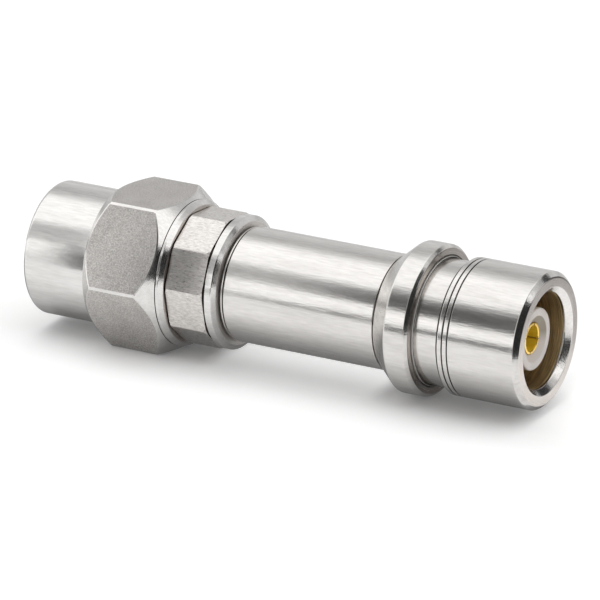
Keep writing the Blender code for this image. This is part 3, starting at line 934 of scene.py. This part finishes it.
def make_jack():
    """The coned flange with its neck, the shell with two scribed lines, the brown sleeve and the PTFE."""
    foot_front = FLANGE_REAR - FOOT_DEPTH
    flange = turned(
        "coned_flange",
        [
            (JACK_SPIGOT, LINE_R),
            (JACK_SPIGOT, SPIGOT_R),
            (FLANGE_FRONT, SPIGOT_R),
            (FLANGE_FRONT, BARREL_R - FLANGE_FRONT_R),
            (FLANGE_FRONT + FLANGE_FRONT_X, BARREL_R, 0.03),
            (RIM_FRONT, FLANGE_R, 0.06),
            (RIM_REAR, FLANGE_R, 0.04),
            (FLANGE_REAR, FLANGE_R - FLANGE_BREAK, 0.04),
            (FLANGE_REAR, FOOT_R),
            (foot_front, FOOT_R),
            (foot_front, NECK_RING_R),
            (NECK_RING_REAR, NECK_RING_R, 0.03),
            (NECK_RING_REAR, NECK_R, 0.02),
            (NECK_REAR, NECK_R, 0.04),
            (NECK_REAR, HEAD_BORE_R - SLIP),
            (HEAD_SEAT, HEAD_BORE_R - SLIP, 0.03),
            (HEAD_SEAT, LINE_R),
        ],
        barrel_steel,
        face_steel,
    )
    ring_end = NECK_RING_REAR + HAIR
    ring_over = NECK_RING_R + HAIR
    ring_under = NECK_RING_R - HAIR
    # The flange's rear face gets painted shade.
    refinished(flange, dull_face, FLANGE_REAR - HAIR, FLANGE_REAR + HAIR, FLANGE_R)
    # The step of the foot behind the flange gets painted shade.
    refinished(flange, scribed_steel, foot_front - HAIR, FLANGE_REAR - HAIR, FOOT_R + HAIR, ring_under)
    # The joint behind the neck ring gets painted shade.
    refinished(flange, grimed_steel, NECK_RING_REAR - HAIR, ring_end, ring_under)
    # The neck ring's edge gets a painted highlight.
    refinished(flange, pale_face, FLANGE_REAR - 2 * HAIR, ring_end, ring_over, ring_under - HAIR)
    head_outline = [
        (HEAD_REAR, HEAD_BORE_R),
        (HEAD_REAR, HEAD_R - HEAD_BREAK, 0.03),
        (HEAD_REAR + HEAD_BREAK, HEAD_R, 0.03),
    ]
    for line in HEAD_LINES:
        head_outline += [
            (line - LINE_HALF, HEAD_R, 0.02),
            (line - LINE_FLOOR_HALF, HEAD_R - LINE_DEPTH),
            (line + LINE_FLOOR_HALF, HEAD_R - LINE_DEPTH),
            (line + LINE_HALF, HEAD_R, 0.02),
        ]
    head_outline += [
        (LENGTH - HEAD_CHAMFER, HEAD_R, 0.05),
        (LENGTH, HEAD_R - HEAD_CHAMFER, 0.05),
        (LENGTH, LIP_R, 0.04),
        (LENGTH - LIP_CONE, RECESS_R, 0.04),
        (LIP_REAR, RECESS_R),
        (LIP_REAR, HEAD_BORE_R),
    ]
    head = turned("jack_shell", head_outline, barrel_steel, face_steel)
    first_line, last_line = HEAD_LINES
    below_skin = HEAD_R - SLIP
    # The two scribed lines get painted shade.
    refinished(head, scribed_steel, first_line - 10 * HAIR, last_line + 10 * HAIR, below_skin)
    # The break where the head meets the neck gets painted shade.
    refinished(head, grimed_steel, HEAD_REAR - HAIR, HEAD_REAR + HEAD_BREAK - SLIP, below_skin, NECK_R)
    liner = turned(
        "recess_sleeve",
        [
            (HEAD_SEAT + GAP, RECESS_R),
            (HEAD_SEAT + GAP, HEAD_BORE_R - SLIP),
            (LIP_REAR - GAP, HEAD_BORE_R - SLIP),
            (LIP_REAR - GAP, RECESS_R, 0.02),
        ],
        dark_bronze,
        dark_bronze,
    )
    hole_r = SOCKET_R + SLIP
    ptfe = turned(
        "nose_dielectric",
        [
            (INSULATOR_REAR, hole_r),
            (INSULATOR_REAR, LINE_R - SLIP),
            (HEAD_SEAT, LINE_R - SLIP),
            (HEAD_SEAT, PTFE_R),
            (NOSE_FRONT, PTFE_R, 0.09),
            (NOSE_FRONT, DISH_R, 0.06),
            (NOSE_FRONT - DISH_DEPTH, hole_r, 0.03),
        ],
        white_ptfe,
        white_ptfe,
    )
    in_hole = NOSE_FRONT - DISH_DEPTH - 5 * HAIR
    # The dish gets painted shade.
    refinished(ptfe, shaded_ptfe, in_hole, NOSE_FRONT - SLIP, DISH_R - SLIP)
    # The hole's wall gets painted light.
    refinished(ptfe, bore_ptfe, INSULATOR_REAR, in_hole, hole_r + HAIR)
    for made, replaced, slot in (
        (flange, "jack_body", "turned_steel"),
        (head, "jack_head", "turned_steel"),
        (liner, "jack_liner", "bronze"),
        (ptfe, "jack_insulator", "white_ptfe"),
    ):
        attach(made, "adapter")
        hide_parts(replaced)


def make_socket():
    """The slit socket: a drilled stem, and four fingers set round the axis by their tree."""
    stem = turned(
        "socket_stem",
        [
            (SOCKET_STUB, 0),
            (SOCKET_STUB, STUB_R),
            (SOCKET_DISC, STUB_R),
            (SOCKET_DISC, ROD_R),
            (SOCKET_DISC_REAR, ROD_R),
            (SOCKET_DISC_REAR, SOCKET_R),
            (SLOT_END, SOCKET_R),
            (SLOT_END, SOCKET_BORE_R),
            (SOCKET_BORE_END, SOCKET_BORE_R),
            (SOCKET_BORE_END, 0),
        ],
        bright_gold,
        bright_gold,
        steps=THIN_STEPS,
        solid=True,
    )
    section = eased(
        [
            (SLOT_END, SOCKET_BORE_R),
            (SLOT_END, SOCKET_R),
            (SOCKET_FRONT, SOCKET_R, 0.045),
            (SOCKET_FRONT, SOCKET_BORE_R, 0.05),
        ]
    )
    data = bpy.data.meshes.new("socket_fingers")
    vertices = []
    for column in range(FINGER_STEPS + 1):
        for x, r in section:
            gap = math.asin(SLOT_HALF / r)
            angle = gap + (math.tau / FINGERS - 2 * gap) * column / FINGER_STEPS
            vertices.append((at_frame(x), -r * MM * math.sin(angle), r * MM * math.cos(angle)))
    rows = len(section)
    faces = [tuple(range(rows)), tuple(FINGER_STEPS * rows + n for n in range(rows))]
    for column in range(FINGER_STEPS):
        for row in range(rows):
            below = (row + 1) % rows
            here = column * rows
            faces.append((here + row, here + below, here + rows + below, here + rows + row))
    data.from_pydata(vertices, [], faces)
    fingers = bpy.data.objects.new("socket_fingers", data)
    bpy.context.scene.collection.objects.link(fingers)
    grown(fingers, ringer, count=FINGERS, first_turn=SLOT_TURN, finish=bright_gold)
    trued(fingers)
    lip_end = SOCKET_FRONT - 5 * HAIR
    for made in (stem, fingers):
        refinished(made, bore_gold, SOCKET_BORE_END - HAIR, lip_end, SOCKET_BORE_R + HAIR)
        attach(made, "adapter")
    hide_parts("jack_socket")


def finish_hidden_nodes():
    """The pieces inside that no view shows keep their CAD shape and get a finish."""
    for name, material in (
        ("centre_rod", bright_gold),
        ("plug_bead", amber),
        ("jack_bead", amber),
        ("nut_snap_ring", dark_bronze),
    ):
        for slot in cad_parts[name].material_slots:
            slot.material = material


# Stage.


def faded(tree, place, low, high, start=0.0, end=1.0):
    """Eases from one number to another between two places in millimetres."""
    return band(tree, place, low * MM, high * MM, start, end)


def make_stage():
    """A pale floor, with painted light that lifts its shadow under the raised barrel and beside the jack."""
    made = bpy.data.materials.new("pale_floor")
    made.use_nodes = True
    tree = made.node_tree
    tree.nodes.clear()
    diffuse = node(tree, "ShaderNodeBsdfDiffuse", {"Color": (0.88, 0.88, 0.88, 1)})
    rays = node(tree, "ShaderNodeLightPath").outputs
    seen = maths(tree, "MAXIMUM", rays["Is Camera Ray"], rays["Is Glossy Ray"])
    seen = maths(tree, "MAXIMUM", seen, rays["Is Transmission Ray"])
    place = node(tree, "ShaderNodeTexCoord").outputs["Object"]
    x, y, _ = node(tree, "ShaderNodeSeparateXYZ", {0: place}).outputs
    # The floor's glow: painted light in a patch under the barrel and a patch beside the jack, which lifts the
    # shadow there, and a little evenly all over.
    middle = product(
        tree,
        faded(tree, x, -5.0, -3.4),
        faded(tree, x, 4.8, 6.2, 1.0, 0.0),
        faded(tree, y, -3.6, 1.0, 0.0, 0.46),
        faded(tree, y, 1.0, 3.5, 1.0, 0.0),
    )
    right = product(
        tree,
        faded(tree, x, 12.6, 15.0),
        faded(tree, y, -4.5, 1.0, 0.0, 0.25),
        faded(tree, y, 3.5, 7.0, 1.0, 0.0),
    )
    glow_and_painted_light = maths(tree, "ADD", maths(tree, "ADD", middle, right), 0.05)
    glow = node(tree, "ShaderNodeEmission", {"Strength": maths(tree, "MULTIPLY", seen, glow_and_painted_light)})
    both = node(tree, "ShaderNodeAddShader", {0: diffuse.outputs[0], 1: glow.outputs[0]})
    node(tree, "ShaderNodeOutputMaterial", {"Surface": both.outputs[0]})
    data = bpy.data.meshes.new("floor")
    size = 2.0
    corners = [(-size, -size), (size, -size), (size, size), (-size, size)]
    data.from_pydata([(x, y, FLOOR_Z * MM) for x, y in corners], [], [(0, 1, 2, 3)])
    data.materials.append(made)
    floor = bpy.data.objects.new("floor", data)
    bpy.context.scene.collection.objects.link(floor)


def turn_of(tree, y, z):
    """The angle round the adapter's axis as a share of a half turn: 0 in front, a half overhead, 1 behind."""
    return maths(tree, "DIVIDE", maths(tree, "ARCTAN2", z, maths(tree, "MULTIPLY", y, -1)), math.pi)


def card(name, corners, tone, cover=1.0, fade=None, shed=None):
    """A card beside the set. Only reflections see it, so it sets the tone of a band on the metal alone.

    It hides the share cover of what is behind it. It fades in along X between the two values of fade, and
    away upwards between the two angles of shed.
    """
    made = bpy.data.materials.new(name)
    made.use_nodes = True
    tree = made.node_tree
    tree.nodes.clear()
    glow = node(tree, "ShaderNodeEmission", {"Color": (tone, tone, tone, 1)})
    clear = node(tree, "ShaderNodeBsdfTransparent")
    place = node(tree, "ShaderNodeTexCoord").outputs["Object"]
    x, y, z = node(tree, "ShaderNodeSeparateXYZ", {0: place}).outputs
    share = faded(tree, x, *fade, 0.0, cover) if fade else cover
    if shed:
        there = band(tree, turn_of(tree, y, z), *(angle / 180 for angle in shed), 1.0, 0.0)
        share = maths(tree, "MULTIPLY", share, there)
    both = node(tree, "ShaderNodeMixShader", {0: share, 1: clear.outputs[0], 2: glow.outputs[0]})
    node(tree, "ShaderNodeOutputMaterial", {"Surface": both.outputs[0]})
    data = bpy.data.meshes.new(name)
    vertices = [tuple(side * MM for side in corner) for corner in corners]
    data.from_pydata(vertices, [], [tuple(range(len(corners)))])
    data.materials.append(made)
    made = bpy.data.objects.new(name, data)
    bpy.context.scene.collection.objects.link(made)
    made.visible_camera = False
    made.visible_diffuse = False
    made.visible_transmission = False
    made.visible_shadow = False
    made.visible_volume_scatter = False


def at_turn(degrees, distance):
    """A place (y, z) beside the axis, by its angle up from the front and its distance."""
    angle = math.radians(degrees)
    return -distance * math.cos(angle), distance * math.sin(angle)


def panel(x_low, x_high, near, far):
    """The corners of a card that runs along the axis, between two places (y, z)."""
    return [(x_low, *near), (x_high, *near), (x_high, *far), (x_low, *far)]


def set_cards():
    """The cards round the set: over the front, on and behind the floor, by the nut, and beside the jack."""
    away = 40
    over = ((-34, 37), (4, 19.5), (4, 62), (-34, 66))
    corners = [(x, *at_turn(degrees, away)) for x, degrees in over]
    card("front_card", corners, tone=0.1, fade=(-17.5, -11.5), shed=(42, 62))
    card("collar_card", panel(-24.6, -22.9, at_turn(34, away), at_turn(54, away)), tone=0.1)
    card("hub_card", panel(-26, -20.2, at_turn(-10, 30), at_turn(30, 30)), tone=0.03)
    card("wrench_card", panel(-9.8, -6.7, (-9.55, 1.6), (-7.85, 5.7)), tone=0.15)
    card("floor_strip", panel(-200, 200, (-45, -4), (-45, 2.2)), tone=0.02, fade=(-34, -12))
    just_above = FLOOR_Z + 0.02
    # Painted shadow: a dark sheet just above the floor under the adapter, seen only in reflections, stands in
    # for the floor's shade there.
    under_shade = panel(-40, 14.6, (-8, just_above), (2, just_above))
    card("floor_cloth", under_shade, tone=0.11, cover=0.84, shed=(-90, -20))
    card("back_cloth", panel(-300, 300, (9, just_above), (400, just_above)), tone=0.1, cover=0.4)
    beside = ((-13, -2.6), (1.5, -0.4), (1.5, 3), (-1.2, 7), (-1.2, 10), (3, 10.5), (3, 16), (-13, 16))
    card("right_card", [(19.5, y, z) for y, z in beside], tone=0.02)
    behind = ((14.5, -1), (23, -1), (23.5, 7.5), (23.5, 13), (12.5, 13), (12.5, 9.5), (18.3, 9.5))
    behind += ((18.3, 6.5), (17, 4), (14.5, 0.5))
    card("back_card", [(x, 12, z) for x, z in behind], tone=0.03)
    card("nut_card", panel(-15.5, -9.5, (-12.6, 3.2), (-7.2, 10.4)), tone=0.86)


def make_studio():
    """The room's light by the angle round the adapter's axis, dark low on the right, and a soft lamp."""
    world = bpy.data.worlds.new("studio")
    bpy.context.scene.world = world
    world.use_nodes = True
    tree = world.node_tree
    tree.nodes.clear()
    place = node(tree, "ShaderNodeTexCoord").outputs["Generated"]
    x, y, z = node(tree, "ShaderNodeSeparateXYZ", {0: place}).outputs
    share = turn_of(tree, y, z)
    # The room's tone at angles up from the front: 90 is overhead and 180 behind.
    stops = [
        (0, 0.9),
        (5, 0.95),
        (10, 1.0),
        (25, 1.0),
        (31, 0.55),
        (52, 0.48),
        (59, 0.7),
        (66, 1.0),
        (109, 1.0),
        (117, 0.78),
        (125, 0.54),
        (137, 0.43),
        (153, 0.52),
        (167, 0.6),
        (180, 0.4),
    ]
    tone = ramp(tree, share, [(degrees / 180, value) for degrees, value in stops], "EASE")
    # Low on the right, the room loses nearly all of its light.
    wall = product(tree, band(tree, x, 0.12, 0.34), band(tree, share, 0.31, 0.335, 1.0, 0.0))
    lit = maths(tree, "MULTIPLY_ADD", wall, -0.97, 1.0)
    shown = node(tree, "ShaderNodeVectorMath", {0: tone, "Scale": lit}, operation="SCALE").outputs[0]
    glow = node(tree, "ShaderNodeBackground", {"Color": shown, "Strength": 1.36})
    node(tree, "ShaderNodeOutputWorld", {"Surface": glow.outputs[0]})
    lamp = bpy.data.lights.new("soft_lamp", "AREA")
    lamp.shape = "RECTANGLE"
    lamp.size = 0.3
    lamp.size_y = 0.2
    lamp.energy = 0.2
    holder = bpy.data.objects.new("soft_lamp", lamp)
    holder.location = Vector((-30, -20, 260)) * MM
    holder.rotation_euler = (Vector((0, 0, 0)) - holder.location).to_track_quat("-Z", "Y").to_euler()
    holder.visible_glossy = False
    bpy.context.scene.collection.objects.link(holder)


def make_camera():
    """The camera, at the photo's angle."""
    right = Vector((math.cos(AZIMUTH), math.sin(AZIMUTH), 0))
    level = math.cos(ELEVATION)
    back = Vector((math.sin(AZIMUTH) * level, -math.cos(AZIMUTH) * level, math.sin(ELEVATION)))
    up = back.cross(right)
    data = bpy.data.cameras.new("camera")
    data.lens = LENS
    data.sensor_width = 36
    data.clip_start = 0.01
    data.clip_end = 20
    made = bpy.data.objects.new("camera", data)
    turn = Matrix((right, up, back)).transposed().to_4x4()
    made.matrix_world = Matrix.Translation((Vector(AIM) + back * DISTANCE) * MM) @ turn
    bpy.context.scene.collection.objects.link(made)
    bpy.context.scene.camera = made


make_nut()
make_thread()
make_plug()
make_wrench_body()
make_barrel()
make_jack()
make_socket()
finish_hidden_nodes()
make_stage()
set_cards()
make_studio()
make_camera()
bpy.context.scene.view_settings.view_transform = "Standard"
